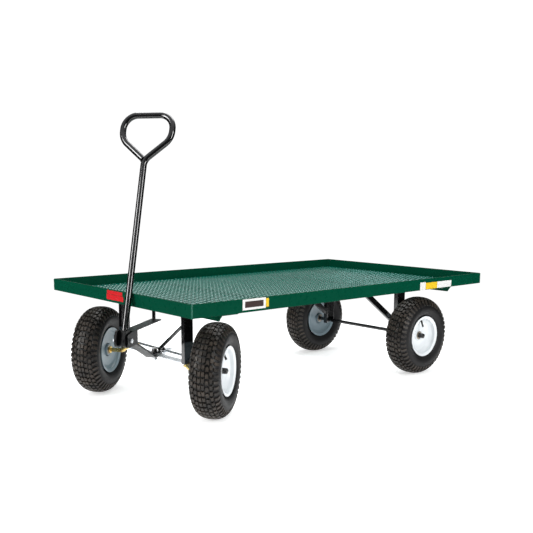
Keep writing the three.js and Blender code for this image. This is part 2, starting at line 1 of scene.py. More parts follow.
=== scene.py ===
"""The visible finish of a steerable deck cart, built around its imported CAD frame.

Metres, +X forward, +Y to the cart's left, +Z up.
"""

import json
import math

import bmesh
import bpy
from mathutils import Matrix, Vector

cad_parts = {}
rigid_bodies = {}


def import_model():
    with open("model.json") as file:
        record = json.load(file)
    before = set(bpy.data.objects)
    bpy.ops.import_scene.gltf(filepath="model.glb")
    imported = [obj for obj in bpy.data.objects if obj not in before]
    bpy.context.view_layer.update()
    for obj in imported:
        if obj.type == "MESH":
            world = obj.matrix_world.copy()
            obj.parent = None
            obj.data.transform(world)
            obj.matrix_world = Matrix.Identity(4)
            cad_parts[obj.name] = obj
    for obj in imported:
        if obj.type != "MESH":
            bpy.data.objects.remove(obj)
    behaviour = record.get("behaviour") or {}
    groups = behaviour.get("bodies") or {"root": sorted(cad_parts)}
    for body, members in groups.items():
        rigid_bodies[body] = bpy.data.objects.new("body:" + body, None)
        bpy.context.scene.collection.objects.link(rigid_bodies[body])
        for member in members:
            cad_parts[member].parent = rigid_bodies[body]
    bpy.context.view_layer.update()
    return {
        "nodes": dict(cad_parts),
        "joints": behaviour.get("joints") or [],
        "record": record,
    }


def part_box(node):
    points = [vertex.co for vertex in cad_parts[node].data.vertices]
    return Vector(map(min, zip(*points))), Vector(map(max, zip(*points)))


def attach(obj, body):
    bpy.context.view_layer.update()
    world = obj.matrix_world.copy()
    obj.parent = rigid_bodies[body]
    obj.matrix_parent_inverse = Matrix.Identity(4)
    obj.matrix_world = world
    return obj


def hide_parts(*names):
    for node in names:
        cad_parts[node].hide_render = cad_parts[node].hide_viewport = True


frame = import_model()

NODES = frame["nodes"]
JOINTS = {joint["name"]: joint for joint in frame["joints"]}
SLOT_OF = {part["node"]: part["material_slot"] for part in frame["record"]["subparts"]}
BODY_OF = {node: body for body, nodes in frame["record"]["behaviour"]["bodies"].items() for node in nodes}
UP = Vector((0, 0, 1))

# ------------------------------------------------------------------ sizes, in metres

# Widths of the rounded edges on thick plate, on thin plate and rod, and on bolts and bars.
EDGE = 0.0008
THIN_EDGE = 0.0006
SMALL_EDGE = 0.0005

# Expanded metal: rows of strands across the deck, half cells along it, the flat half length at each bond,
# and the strand's own width, thickness and twist between bonds. At a bond each strand lies beside the
# bond's line by a share of its width, which is under a half, so that the two strands meet.
FLOOR_MESH = {"rows": 78, "half_cells": 60, "bond": 0.0058, "strand": 0.0040, "steel": 0.0022,
              "twist": math.radians(-40), "margin": 0.004, "beside": 0.42}

# The section is a superellipse about the middle radius; bead and inside are its corners below it.
TYRE = {"radius": 0.165, "half_width": 0.053, "middle": 0.122, "fullness": 2.4, "tread_depth": 0.0055,
        "pitches": 46, "shoulder": math.radians(52), "tread_foot": 0.132,
        "bead": [(0.112, 0.0520), (0.101, 0.0490), (0.0925, 0.0445), (0.0885, 0.0405), (0.0835, 0.0372)],
        "inside": [(0.0845, 0.0330), (0.100, 0.0400), (0.122, 0.0435), (0.145, 0.0380), (0.152, 0.0200),
                   (0.1535, 0.0)]}

# Each block column: its near and far edge from the crown, its start and length in pitches, and the
# share of a pitch by which its middle runs ahead.
TREAD_COLUMNS = [
    (0.0009, 0.0120, 0.00, 0.68, 0.12),
    (0.0148, 0.0262, 0.46, 0.64, -0.14),
    (0.0290, 0.0400, 0.02, 0.64, 0.16),
    (0.0430, 0.0680, 0.44, 0.50, 0.12),
]
# A block's outline from its sunk foot to its top: depth below the tread and size against the column.
BLOCK_RINGS = [(0.0068, 1.08), (0.0010, 0.97), (0.0, 0.86)]

# Flange is the half width over the flanges. Bowl, dish and web are corners of radius and y: the bowl's
# face outboard, the dish that closes the rim inboard, and the back of the bowl.
RIM = {"lip": 0.0860, "seat": 0.0770, "well": 0.0660, "steel": 0.003, "flange": 0.046, "bend": 0.0040,
       "bowl": [(0.045, 0.0125), (0.064, 0.018)],
       "dish": [(0.071, -0.0375), (0.060, -0.0335), (0.045, -0.0315), (0.0245, -0.0305),
                (0.0245, -0.0275), (0.045, -0.0285), (0.060, -0.0305), (0.074, -0.035)],
       "web": [(0.060, 0.013), (0.044, 0.009)]}
HUB = {"radius": 0.022, "bore": 0.0177, "inboard": 0.038, "outboard": 0.018}
BEARING = {"radius": 0.0169, "bore": 0.0086, "width": 0.011, "inset": 0.001, "groove": 0.0012}
HUB_CAP = {"radius": 0.011, "length": 0.025, "clearance": 0.0004, "foot": 0.0035, "step": 0.0008,
           "dome": 0.0060, "tip": 0.0015, "depth": 0.008, "fit": 0.0003}
AXLE_RADIUS = 0.00794
ROD_CHAMFER = 0.0008
COLLAR = {"radius": 0.013, "bore": 0.0070, "width": 0.006, "clearance": 0.0004}

# The valve's own axis is Y: rubber foot, tapered stem, and a cap with ribs a little proud of its grooves.
VALVE = {"place": (0, 0.025, 0.065), "lean": math.radians(66), "ribs": 4, "rib_start": 0.0200,
         "rib_pitch": 0.0019, "ridge": 0.0040, "groove": 0.0036,
         "foot": [(0.0, 0.0), (0.0050, 0.0), (0.0050, 0.0035), (0.0040, 0.0075), (0.0036, 0.0175),
                  (0.0031, 0.0182), (0.0031, 0.0190), (0.0040, 0.0196)],
         "end": [(0.0038, 0.0280), (0.0030, 0.0290), (0.0, 0.0290)]}

# Heights are taken along the leaning rod from the bolt it tips about; end is where the loop is welded on.
HANDLE = {"radius": 0.011, "lean": math.radians(18.6), "foot": -0.014, "neck": 0.620, "length": 0.783,
          "half_width": 0.090, "shoulder": 0.697, "neck_bend": 0.040, "side_bend": 0.060, "top_bend": 0.050,
          "end": (0, -0.004, 0.624), "weld": 0.0018}

KINGPIN = {"top": 0.280, "bend": 0.020, "wheel_offset": 0.106, "past_hub": 0.008}
ARM = {"length": 0.085, "width": 0.022, "steel": 0.005, "bottom": 0.172}

CORNER_WELD = {"radius": 0.0030, "inset": 0.0012, "short": 0.0005}
LEG_WELD = {"radius": 0.0022, "short": 0.002, "lift": 0.0002}
BRACE_WELD = {"radius": 0.0020, "inset": 0.0006, "bottom": 0.003, "top": 0.034}
LABEL_FILM = 0.0003
LABEL_LIFT = 0.0001

# The studio: where the white backdrop lies, the floor, the lights, and the camera solved from the photo.
BACKDROP = Vector((-0.66, -0.75, 0.0))
FLOOR_RADIUS = 1.6
LIGHTS = {"top_softbox": ((-0.8, -0.8, 3.2), (3.0, 2.2), 90),
          "left_strip": ((-0.10, 3.4, 1.5), (0.8, 2.0), 68),
          "right_strip": ((3.5, -0.25, 1.5), (0.8, 2.0), 76)}
CAMERA = {"place": (2.003, 2.263, 0.7496), "heading": math.radians(-131.90), "dip": math.radians(8.512),
          "roll": math.radians(0.387), "sensor": 36.0, "lens": 50.48, "shift": (-0.0164, 0.0787)}

# ------------------------------------------------------------------ materials


class Shader:
    """A Principled material that is put together node by node."""

    def __init__(self, name):
        self.material = bpy.data.materials.new(name)
        self.material.use_nodes = True
        self.tree = self.material.node_tree
        self.principled = self.tree.nodes["Principled BSDF"]
        self.place = self.tree.nodes.new("ShaderNodeTexCoord").outputs["Object"]

    def set(self, **sockets):
        for name, value in sockets.items():
            socket = name.replace("_", " ").title().replace("Ior", "IOR")
            self.principled.inputs[socket].default_value = value

    def link(self, output, socket):
        self.tree.links.new(output, self.principled.inputs[socket])

    def noise(self, scale, detail=3.0):
        """Noise of about scale cells to a metre."""
        noise = self.tree.nodes.new("ShaderNodeTexNoise")
        noise.inputs["Scale"].default_value = scale
        noise.inputs["Detail"].default_value = detail
        self.tree.links.new(self.place, noise.inputs["Vector"])
        return noise.outputs["Fac"]

    def ramp(self, factor, *stops):
        """Colours at places along a factor, each stop a pair of place and colour."""
        ramp = self.tree.nodes.new("ShaderNodeValToRGB")
        elements = ramp.color_ramp.elements
        while len(elements) < len(stops):
            elements.new(0.5)
        for element, (place, colour) in zip(elements, stops):
            element.position = place
            element.color = (*colour, 1)
        self.tree.links.new(factor, ramp.inputs["Fac"])
        return ramp.outputs["Color"]

    def spread(self, factor, low, high):
        """The factor's middle range laid over low to high."""
        spread = self.tree.nodes.new("ShaderNodeMapRange")
        spread.inputs["From Min"].default_value = 0.3
        spread.inputs["From Max"].default_value = 0.7
        spread.inputs["To Min"].default_value = low
        spread.inputs["To Max"].default_value = high
        self.tree.links.new(factor, spread.inputs["Value"])
        return spread.outputs["Result"]

    def blend(self, factor, first, second):
        """Two colours blended by a factor; each is a colour or a socket."""
        mix = self.tree.nodes.new("ShaderNodeMix")
        mix.data_type = "RGBA"
        self.tree.links.new(factor, mix.inputs["Factor"])
        colour_inputs = [socket for socket in mix.inputs if socket.type == "RGBA"]
        for socket, colour in zip(colour_inputs, (first, second)):
            if isinstance(colour, tuple):
                socket.default_value = (*colour, 1)
            else:
                self.tree.links.new(colour, socket)
        return [o for o in mix.outputs if o.type == "RGBA"][0]

    def attribute(self, name):
        attribute = self.tree.nodes.new("ShaderNodeAttribute")
        attribute.attribute_name = name
        return attribute.outputs["Fac"]

    def bump(self, height, strength, distance):
        bump = self.tree.nodes.new("ShaderNodeBump")
        bump.inputs["Strength"].default_value = strength
        bump.inputs["Distance"].default_value = distance
        self.tree.links.new(height, bump.inputs["Height"])
        self.link(bump.outputs["Normal"], "Normal")


def shade(colour, factor):
    return tuple(min(1.0, channel * factor) for channel in colour)


def painted(name, colour, roughness, specular, coat=0.0, mottle=0.05, peel=0.03, tint=(1, 1, 1)):
    """Powder coat: a faint orange peel, slow changes of tone and slightly uneven gloss."""
    paint = Shader(name)
    paint.set(metallic=0.0, specular_ior_level=specular, coat_weight=coat, coat_roughness=0.12,
              specular_tint=(*tint, 1))
    darker, lighter = shade(colour, 1 - mottle), shade(colour, 1 + mottle)
    paint.link(paint.ramp(paint.noise(9.0, 4.0), (0.3, darker), (0.7, lighter)), "Base Color")
    paint.link(paint.spread(paint.noise(60.0), roughness * 0.94, roughness * 1.10), "Roughness")
    paint.bump(paint.noise(1400.0, 1.0), peel, 0.00004)
    return paint.material


def plated(name, colours, roughness):
    """Plated or bare metal whose tint drifts between colours, with a fine uneven grain."""
    plate = Shader(name)
    plate.set(metallic=1.0)
    first, span = 0.32, 0.36
    places = [first + span * i / (len(colours) - 1) for i in range(len(colours))]
    plate.link(plate.ramp(plate.noise(38.0, 4.0), *zip(places, colours)), "Base Color")
    plate.link(plate.spread(plate.noise(160.0, 3.0), roughness - 0.08, roughness + 0.12), "Roughness")
    plate.bump(plate.noise(700.0, 2.0), 0.10, 0.0002)
    return plate.material


def tread_rubber():
    """Rubber that is near black on the carcass and in the grooves, and patchily brownish on the raised
    blocks.
    """
    rubber = Shader("tread_rubber")
    rubber.set(specular_ior_level=0.30)
    patches = rubber.spread(rubber.noise(26.0, 4.0), 0.0, 1.0)
    block_tone = rubber.blend(patches, (0.0055, 0.005, 0.0048), (0.052, 0.041, 0.032))
    rubber.link(rubber.blend(rubber.attribute("raise"), (0.004, 0.004, 0.004), block_tone), "Base Color")
    rubber.link(rubber.spread(rubber.noise(140.0), 0.32, 0.55), "Roughness")
    rubber.bump(rubber.noise(900.0, 3.0), 0.25, 0.0004)
    return rubber.material


def sidewall_rubber():
    """Plain dark rubber with slow changes of tone and a fine moulded grain."""
    rubber = Shader("sidewall_rubber")
    rubber.set(specular_ior_level=0.24)
    tone = rubber.ramp(rubber.noise(30.0), (0.3, (0.0045, 0.0045, 0.005)), (0.7, (0.008, 0.0075, 0.008)))
    rubber.link(tone, "Base Color")
    rubber.link(rubber.spread(rubber.noise(200.0), 0.42, 0.56), "Roughness")
    rubber.bump(rubber.noise(1100.0, 2.0), 0.15, 0.0003)
    return rubber.material


def plain_floor():
    """White sweep paper that glows a little, so that the floor reads as white as the backdrop."""
    floor = Shader("studio_floor")
    floor.set(specular_ior_level=0.0, roughness=1.0, emission_color=(1, 1, 1, 1), emission_strength=0.55)
    tone = floor.ramp(floor.noise(0.4), (0.3, (0.90, 0.90, 0.90)), (0.7, (0.92, 0.92, 0.92)))
    floor.link(tone, "Base Color")
    return floor.material


MATERIALS = {
    "green_paint": painted("green_powder_coat", (0.0005, 0.056, 0.029), 0.28, 0.06),
    "mesh_paint": painted("mesh_powder_coat", (0.0006, 0.082, 0.056), 0.10, 0.55, tint=(0.55, 0.95, 0.95)),
    "black_paint": painted("black_gloss_paint", (0.003, 0.003, 0.0035), 0.13, 0.7, coat=0.4, peel=0.005),
    "satin_black": painted("black_satin_paint", (0.003, 0.003, 0.0035), 0.30, 0.16, peel=0.01),
    # A lighter copy of the green paint for the corner welds: a painted highlight down each bead.
    "weld_painted_highlight": painted("green_paint_painted_highlight", (0.008, 0.110, 0.068), 0.20, 0.4, coat=0.2),
    "zinc": plated("bright_zinc", [(0.62, 0.64, 0.67), (0.80, 0.82, 0.84), (0.70, 0.73, 0.78)], 0.26),
    "dull_zinc": plated("dull_zinc", [(0.06, 0.06, 0.065), (0.14, 0.14, 0.15)], 0.40),
    "yellow_zinc": plated("yellow_zinc", [(0.62, 0.40, 0.12), (0.76, 0.55, 0.20), (0.68, 0.56, 0.24)], 0.24),
    "tyre": tread_rubber(),
    "sidewall": sidewall_rubber(),
    "rim_paint": painted("white_rim_paint", (0.76, 0.79, 0.81), 0.30, 0.5, coat=0.2, mottle=0.02),
    # The white rim paint made darker and grey-blue for faces turned inboard: painted shade.
    "rim_back_painted_shade": painted("white_rim_paint_painted_shade", (0.21, 0.275, 0.315), 0.34, 0.5, coat=0.2, mottle=0.04),
    "bearing_steel": plated("bearing_steel", [(0.22, 0.18, 0.13), (0.45, 0.40, 0.33), (0.34, 0.31, 0.27)],
                            0.34),
    "rubber": painted("valve_rubber", (0.014, 0.014, 0.014), 0.45, 0.4),
    "black_plastic": painted("cap_plastic", (0.010, 0.010, 0.010), 0.24, 0.5),
    "red_label": painted("red_label_film", (0.55, 0.012, 0.016), 0.35, 0.4, mottle=0.03),
    "white_label": painted("white_label_film", (0.78, 0.78, 0.76), 0.35, 0.4, mottle=0.02),
    "yellow_label": painted("yellow_label_film", (0.80, 0.52, 0.02), 0.35, 0.4, mottle=0.03),
    "dark_label": painted("dark_label_film", (0.040, 0.022, 0.020), 0.35, 0.4, mottle=0.05),
}

# ------------------------------------------------------------------ mesh helpers


def add_piece(name, bm, materials, body, replaced=(), sharp=40):
    """A finished mesh that rides on a body and stands for the nodes it replaces."""
    bmesh.ops.recalc_face_normals(bm, faces=bm.faces)
    mesh = bpy.data.meshes.new(name)
    bm.to_mesh(mesh)
    bm.free()
    mesh.shade_smooth()
    mesh.set_sharp_from_angle(angle=math.radians(sharp))
    for material in materials:
        mesh.materials.append(MATERIALS[material])
    piece = bpy.data.objects.new(name, mesh)
    bpy.context.scene.collection.objects.link(piece)
    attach(piece, body)
    if replaced:
        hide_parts(*replaced)
    return piece


def lean_to_large_faces(mesh, sharp):
    """Corner normals weighted by face area, so that flat faces stay flat beside their rounded edges."""
    around = [[] for _ in mesh.vertices]
    for face in mesh.polygons:
        for vertex in face.vertices:
            around[vertex].append(face.index)
    limit = math.cos(math.radians(sharp))
    normals = []
    for face in mesh.polygons:
        for vertex in face.vertices:
            near = [mesh.polygons[other] for other in around[vertex]]
            smooth = [other.normal * other.area for other in near if other.normal.dot(face.normal) > limit]
            normals.append(sum(smooth, face.normal * face.area).normalized())
    mesh.normals_split_custom_set(normals)


def rounded_copy(node, width=EDGE, material=None):
    """A CAD node's own shape with its edges rounded, shown in the node's place."""
    flat, bevelled, smooth = 1, 35, 50
    bm = bmesh.new()
    bm.from_mesh(NODES[node].data)
    bmesh.ops.remove_doubles(bm, verts=bm.verts, dist=1e-5)
    bmesh.ops.dissolve_limit(bm, angle_limit=math.radians(flat), verts=bm.verts, edges=bm.edges)
    sharp = [e for e in bm.edges if len(e.link_faces) == 2 and e.calc_face_angle(0) > math.radians(bevelled)]
    bmesh.ops.bevel(bm, geom=sharp, offset=width, offset_type="OFFSET", segments=2, profile=0.5,
                    affect="EDGES", clamp_overlap=True)
    piece = add_piece(f"{node}_finish", bm, [material or SLOT_OF[node]], BODY_OF[node], [node], sharp=smooth)
    lean_to_large_faces(piece.data, smooth)


def turned(bm, profile, steps, place, material=0, closed=True):
    """A ring, or a plug from an open profile, turned about the local Y axis from radius and y corners."""
    rings = []
    for i in range(steps):
        angle = 2 * math.pi * i / steps
        sine, cosine = math.sin(angle), math.cos(angle)
        rings.append([bm.verts.new(place @ Vector((r * sine, y, r * cosine))) for r, y in profile])
    count = len(profile)
    last = count if closed else count - 1
    for i in range(steps):
        a, b = rings[i], rings[(i + 1) % steps]
        for j in range(last):
            face = bm.faces.new((a[j], a[(j + 1) % count], b[(j + 1) % count], b[j]))
            face.material_index = material


def arc_corner(before, corner, after, radius, steps):
    """Points that round one corner of a flat outline, on less than half of each side."""
    share = 0.48
    back = before - corner
    ahead = after - corner
    half = back.angle(ahead) / 2
    reach = min(radius / math.tan(half), share * back.length, share * ahead.length)
    start, end = corner + back.normalized() * reach, corner + ahead.normalized() * reach
    points = []
    for i in range(steps + 1):
        t = i / steps
        points.append(start * (1 - t) ** 2 + corner * 2 * t * (1 - t) + end * t ** 2)
    return points


def rounded_outline(corners, radius, steps):
    """A closed flat outline with every corner rounded."""
    points = [Vector(c) for c in corners]
    outline = []
    for i, corner in enumerate(points):
        outline += arc_corner(points[i - 1], corner, points[(i + 1) % len(points)], radius, steps)
    return [tuple(p) for p in outline]


def bent_path(corners, bends, spacing):
    """Points along a rod with a true arc of its own radius at each inner corner."""
    points = [Vector(corners[0])]
    for i in range(1, len(corners) - 1):
        corner = Vector(corners[i])
        back = (Vector(corners[i - 1]) - corner).normalized()
        ahead = (Vector(corners[i + 1]) - corner).normalized()
        half = back.angle(ahead) / 2
        radius = bends[i - 1]
        centre = corner + (back + ahead).normalized() * (radius / math.sin(half))
        along = (ahead - back).normalized()
        inward = (back + ahead).normalized()
        sweep = math.pi / 2 - half
        steps = max(6, int(2 * sweep * radius / spacing))
        for j in range(steps + 1):
            angle = (2 * j / steps - 1) * sweep
            points.append(centre - inward * (radius * math.cos(angle)) + along * (radius * math.sin(angle)))
    points.append(Vector(corners[-1]))
    return points


def rod(bm, points, radii, place, sides, chamfer=0.0):
    """A round bar along points, with a radius for each, its ends chamfered."""
    path = [place @ Vector(p) for p in points]
    if chamfer:
        first, last = (path[1] - path[0]).normalized(), (path[-1] - path[-2]).normalized()
        path = [path[0], path[0] + first * chamfer, *path[1:-1], path[-1] - last * chamfer, path[-1]]
        radii = [radii[0] - chamfer, radii[0], *radii[1:-1], radii[-1], radii[-1] - chamfer]
    tangents = []
    for i in range(len(path)):
        ahead = path[min(i + 1, len(path) - 1)] - path[max(i - 1, 0)]
        tangents.append(ahead.normalized())
    side = tangents[0].orthogonal().normalized()
    rings = []
    for point, tangent, r in zip(path, tangents, radii):
        side = (side - tangent * side.dot(tangent)).normalized()
        other = tangent.cross(side)
        angles = [2 * math.pi * k / sides for k in range(sides)]
        rings.append([bm.verts.new(point + (side * math.cos(a) + other * math.sin(a)) * r) for a in angles])
    for a, b in zip(rings, rings[1:]):
        for k in range(sides):
            bm.faces.new((a[k], a[(k + 1) % sides], b[(k + 1) % sides], b[k]))
    for ring in (rings[0], rings[-1]):
        bm.faces.new(ring)


def weld_bead(bm, start, end, radius):
    """A bead of overlapping rounded ripples from start to end, thinner at both ends."""
    ripple, steps_each, swell, end_share = 0.0045, 4, 0.14, 0.5
    start, end = Vector(start), Vector(end)
    steps = max(8, int((end - start).length / ripple * steps_each))
    points = [start.lerp(end, i / steps) for i in range(steps + 1)]
    radii = [radius * (1 - swell + swell * abs(math.sin(math.pi * i / steps_each))) for i in range(steps + 1)]
    radii[0] = radii[-1] = radius * end_share
    rod(bm, points, radii, Matrix.Identity(4), 12)


def weld_ring(bm, centre, along, radius, bead, place):
    """A bead round the end of a rod, its ripples one fifth deep."""
    steps, ripple = 36, 0.2
    side = along.orthogonal().normalized()
    other = along.cross(side)
    angles = [2 * math.pi * i / steps for i in range(steps + 1)]
    points = [centre + (side * math.cos(a) + other * math.sin(a)) * radius for a in angles]
    rod(bm, points, [bead * (1 - ripple + ripple * (i % 2)) for i in range(steps + 1)], place, 8)


def slab(bm, low, high, material):
    """A thin plate between two corners."""
    made = bmesh.ops.create_cube(bm, size=1.0)["verts"]
    size = Vector(high) - Vector(low)
    middle = (Vector(high) + Vector(low)) / 2
    for v in made:
        v.co = [m + c * s for m, c, s in zip(middle, v.co, size)]
    for f in {f for v in made for f in v.link_faces}:
        f.material_index = material


# ------------------------------------------------------------------ deck


def expanded_metal():
    """Zigzag strands along X, flat where they meet side by side at the bonds and twisted between them."""
    low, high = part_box("mesh_floor")
    spec = FLOOR_MESH
    x0, x1 = low.x + spec["margin"] / 4, high.x - spec["margin"] / 4
    y0, y1 = low.y + spec["margin"], high.y - spec["margin"]
    row = (y1 - y0) / spec["rows"]
    half_cell = (x1 - x0) / spec["half_cells"]
    half_strand, half_steel = spec["strand"] / 2, spec["steel"] / 2

    def section(tilt):
        """The strand's corners at one place along it, turned about its own length."""
        across = Vector((0, math.cos(tilt), math.sin(tilt))) * half_strand
        through = Vector((0, -math.sin(tilt), math.cos(tilt))) * half_steel
        return [across * 0.75 + through, across + through * 0.5, across - through, -across - through,
                -across + through * 0.5, -across * 0.75 + through]

    flat, twisted = section(0.0), section(spec["twist"])
    rest_gap = 0.0001
    z = low.z + rest_gap - min(corner.z for corner in twisted)
    beside = spec["strand"] * spec["beside"]
    bm = bmesh.new()
    for j in range(spec["rows"]):
        rings = []
        for i in range(spec["half_cells"] + 1):
            high_end = (i + j) % 2
            y = y0 + row * (j + high_end) + (-beside if high_end else beside)
            x = x0 + half_cell * i
            for dx in (-spec["bond"], spec["bond"]):
                if x0 <= x + dx <= x1:
                    rings.append([bm.verts.new(Vector((x + dx, y, z)) + corner) for corner in flat])
            if i < spec["half_cells"]:
                away = y0 + row * (j + 1 - high_end) + (beside if high_end else -beside)
                middle = Vector((x + half_cell / 2, (y + away) / 2, z))
                rings.append([bm.verts.new(middle + corner) for corner in twisted])
        count = len(flat)
        for a, b in zip(rings, rings[1:]):
            for k in range(count):
                bm.faces.new((a[k], a[(k + 1) % count], b[(k + 1) % count], b[k]))
        bm.faces.new(rings[0])
        bm.faces.new(rings[-1])
    add_piece("expanded_metal_floor", bm, ["mesh_paint"], "chassis", ["mesh_floor"], sharp=25)


def deck_corner_welds():
    """An upright bead down each mitred corner of the rails, in a lighter green that is a painted highlight.
    """
    low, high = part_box("left_rail")
    back, front = low.x, high.x
    half_width = high.y
    bm = bmesh.new()
    inset, short = CORNER_WELD["inset"], CORNER_WELD["short"]
    for x in (back, front):
        for y in (-half_width, half_width):
            corner = (x - math.copysign(inset, x), y - math.copysign(inset, y))
            weld_bead(bm, (*corner, low.z + short), (*corner, high.z - short), CORNER_WELD["radius"])
    add_piece("deck_corner_welds", bm, ["weld_painted_highlight"], "chassis")


def label(name, panels):
    """A blank film label on a rail's face; each panel is its material and its two corners."""
    bm = bmesh.new()
    names = []
    for material, low, high in panels:
        if material not in names:
            names.append(material)
        slab(bm, low, high, names.index(material))
    add_piece(name, bm, names, "chassis")


def labels():
    """Blank stand-ins for the labels: no lettering, marks or pictures."""
    film = LABEL_FILM
    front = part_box("front_rail")[1].x + LABEL_LIFT
    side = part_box("left_rail")[1].y + LABEL_LIFT
    label("front_label", [
        ("red_label", (front, -0.050, 0.3935), (front + film, 0.062, 0.4115)),
        ("red_label", (front, -0.046, 0.4125), (front + film, 0.056, 0.4255)),
    ])
    label("side_label_front", [
        ("white_label", (0.424, side, 0.3925), (0.521, side + film, 0.4275)),
        ("yellow_label", (0.411, side, 0.3960), (0.423, side + film, 0.4240)),
        ("dark_label", (0.434, side + film, 0.4000), (0.511, side + 2 * film, 0.4200)),
    ])
    label("side_label_rear", [
        ("white_label", (-0.596, side, 0.3870), (-0.500, side + film, 0.4130)),
        ("yellow_label", (-0.499, side, 0.3870), (-0.424, side + film, 0.4130)),
        ("white_label", (-0.423, side, 0.3835), (-0.388, side + film, 0.4165)),
    ])


def build_deck():
    for node in ("left_rail", "right_rail", "front_rail", "rear_rail", "front_cross_member",
                 "rear_cross_member", "front_support_bar", "rear_support_bar"):
        rounded_copy(node)
    expanded_metal()
    deck_corner_welds()
    labels()


# ------------------------------------------------------------------ wheels


def frame_at(place, outboard):
    """A local frame whose Y points outboard along the axle and whose Z is up."""
    y = Vector(outboard).normalized()
    x = y.cross(UP)
    axes = Matrix((x, y, UP)).transposed().to_4x4()
    return Matrix.Translation(Vector(place)) @ axes


def section_point(angle, depth):
    """A point of the tyre's outer section, its angle taken from the crown, sunk by a depth."""
    power = 2 / TYRE["fullness"]
    height = TYRE["radius"] - TYRE["middle"] - depth
    width = TYRE["half_width"] - depth
    sine, cosine = math.sin(angle), math.cos(angle)
    y = width * math.copysign(abs(sine) ** power, sine)
    return TYRE["middle"] + height * abs(cosine) ** power, y


def tread_angles(count=400):
    """Section angles against distance along the section from the crown."""
    table = [(0.0, 0.0)]
    previous = section_point(0, 0)
    for i in range(1, count + 1):
        angle = math.pi / 2 * i / count
        point = section_point(angle, 0)
        table.append((table[-1][0] + math.dist(point, previous), angle))
        previous = point
    return table


def angle_at(table, distance):
    """The section angle at a signed distance from the crown."""
    reach = abs(distance)
    for (s0, a0), (s1, a1) in zip(table, table[1:]):
        if reach <= s1:
            return math.copysign(a0 + (a1 - a0) * (reach - s0) / (s1 - s0), distance)
    return math.copysign(table[-1][1], distance)


def add_block(bm, raised, table, place, corners):
    """One tread block: its sides flare out below and its top edge is chamfered."""
    foot_depth = BLOCK_RINGS[0][0]
    middle_s = sum(s for s, _ in corners) / len(corners)
    middle_u = sum(u for _, u in corners) / len(corners)
    rings = []
    for depth, grow in BLOCK_RINGS:
        ring = []
        for s, u in corners:
            at_s = middle_s + (s - middle_s) * grow
            at_u = middle_u + (u - middle_u) * grow
            r, y = section_point(angle_at(table, at_s), depth)
            turn = 2 * math.pi * at_u / TYRE["pitches"]
            vertex = bm.verts.new(place @ Vector((r * math.sin(turn), y, r * math.cos(turn))))
            vertex[raised] = 0.0 if depth == foot_depth else 1.0
            ring.append(vertex)
        rings.append(ring)
    count = len(corners)
    for a, b in zip(rings, rings[1:]):
        for k in range(count):
            bm.faces.new((a[k], a[(k + 1) % count], b[(k + 1) % count], b[k]))
    bm.faces.new(rings[-1])
    bm.faces.new(rings[0])


def tyre_outline():
    """The whole carcass section: grooved ground under the tread, sidewalls and beads, then the inside."""
    steps, fade_power = 24, 0.7
    half = []
    for i in range(steps + 1):
        angle = math.pi / 2 * i / steps
        fade = min(1.0, max(0.0, (math.pi / 2 - angle) / (math.pi / 2 - TYRE["shoulder"])))
        half.append(section_point(angle, TYRE["tread_depth"] * fade ** fade_power))
    half += TYRE["bead"]
    inside = TYRE["inside"]
    mirrored = [(r, -y) for r, y in reversed(half[1:])]
    return mirrored + half + inside + [(r, -y) for r, y in reversed(inside[:-1])]


def build_tyre(name, place, body):
    """A tyre of tread and sidewall rubber, its blocks standing on the carcass."""
    bm = bmesh.new()
    raised = bm.verts.layers.float.new("raise")
    turned(bm, tyre_outline(), 96, place, material=1)
    limit = section_point(TYRE["shoulder"], TYRE["tread_depth"])[1]
    inverse = place.inverted()
    for face in bm.faces:
        local = inverse @ face.calc_center_median()
        radius = math.hypot(local.x, local.z)
        if abs(local.y) < limit and radius > TYRE["tread_foot"]:
            face.material_index = 0
    table = tread_angles()
    for pitch in range(TYRE["pitches"]):
        for side in (-1, 1):
            for column, (near, far, start, length, lead) in enumerate(TREAD_COLUMNS):
                # The two sides run half a pitch apart, except for the pair of columns at the crown.
                begin = pitch + start + (0.5 if side < 0 and column > 0 else 0.0)
                middle = (near + far) / 2
                corners = [(near, begin), (middle, begin + lead), (far, begin),
                           (far, begin + length), (middle, begin + length + lead), (near, begin + length)]
                add_block(bm, raised, table, place, [(side * s, u) for s, u in corners])
    add_piece(f"{name}_treaded_tyre", bm, ["tyre", "sidewall"], body, [f"{name}_tyre"], sharp=35)


def build_rim(name, place, body):
    """A pressed rim: the white bowl outboard, the back, and the well between the flanges. Faces turned
    inboard wear a darker grey-blue copy of the white paint, which is painted shade.
    """
    lip, seat, well, steel, flange = (RIM[k] for k in ("lip", "seat", "well", "steel", "flange"))
    hub, bore = HUB["radius"], HUB["bore"]
    face = [(bore, HUB["outboard"]), (hub, HUB["outboard"]), (hub, 0.0115), *RIM["bowl"],
            (seat - steel, 0.0290), (seat - steel, flange - 0.003), (lip, flange + 0.001)]
    well_side = [(lip, flange - 0.002), (seat, flange - 0.006), (seat, 0.026), (well, 0.016), (well, -0.016),
                 (seat, -0.026), (seat, 0.006 - flange), (lip, 0.002 - flange), (lip, -flange - 0.001)]
    back = [(seat - steel, 0.003 - flange), *RIM["dish"], (seat - steel, -0.028), (well - steel, -0.018),
            (well - steel, 0.010), *RIM["web"], (hub, 0.008), (hub, -HUB["inboard"]), (bore, -HUB["inboard"])]
    bm = bmesh.new()
    turned(bm, rounded_outline(face + well_side + back, RIM["bend"], 5), 96, place)
    inverse = place.inverted()
    turn = inverse.to_3x3()
    bmesh.ops.recalc_face_normals(bm, faces=bm.faces)
    # Only outboard faces within the lip keep the white paint; all others get its darker copy, a painted
    # shade.
    bowl_start, outer_lip, level = 0.0105, flange - 0.008, -0.05
    for face in bm.faces:
        local = inverse @ face.calc_center_median()
        outward = (turn @ face.normal).y > level or local.y > outer_lip
        inside_lip = math.hypot(local.x, local.z) < lip + 0.001
        face.material_index = 0 if local.y > bowl_start and outward and inside_lip else 1
    add_piece(f"{name}_pressed_rim", bm, ["rim_paint", "rim_back_painted_shade"], body, [f"{name}_rim"], sharp=60)


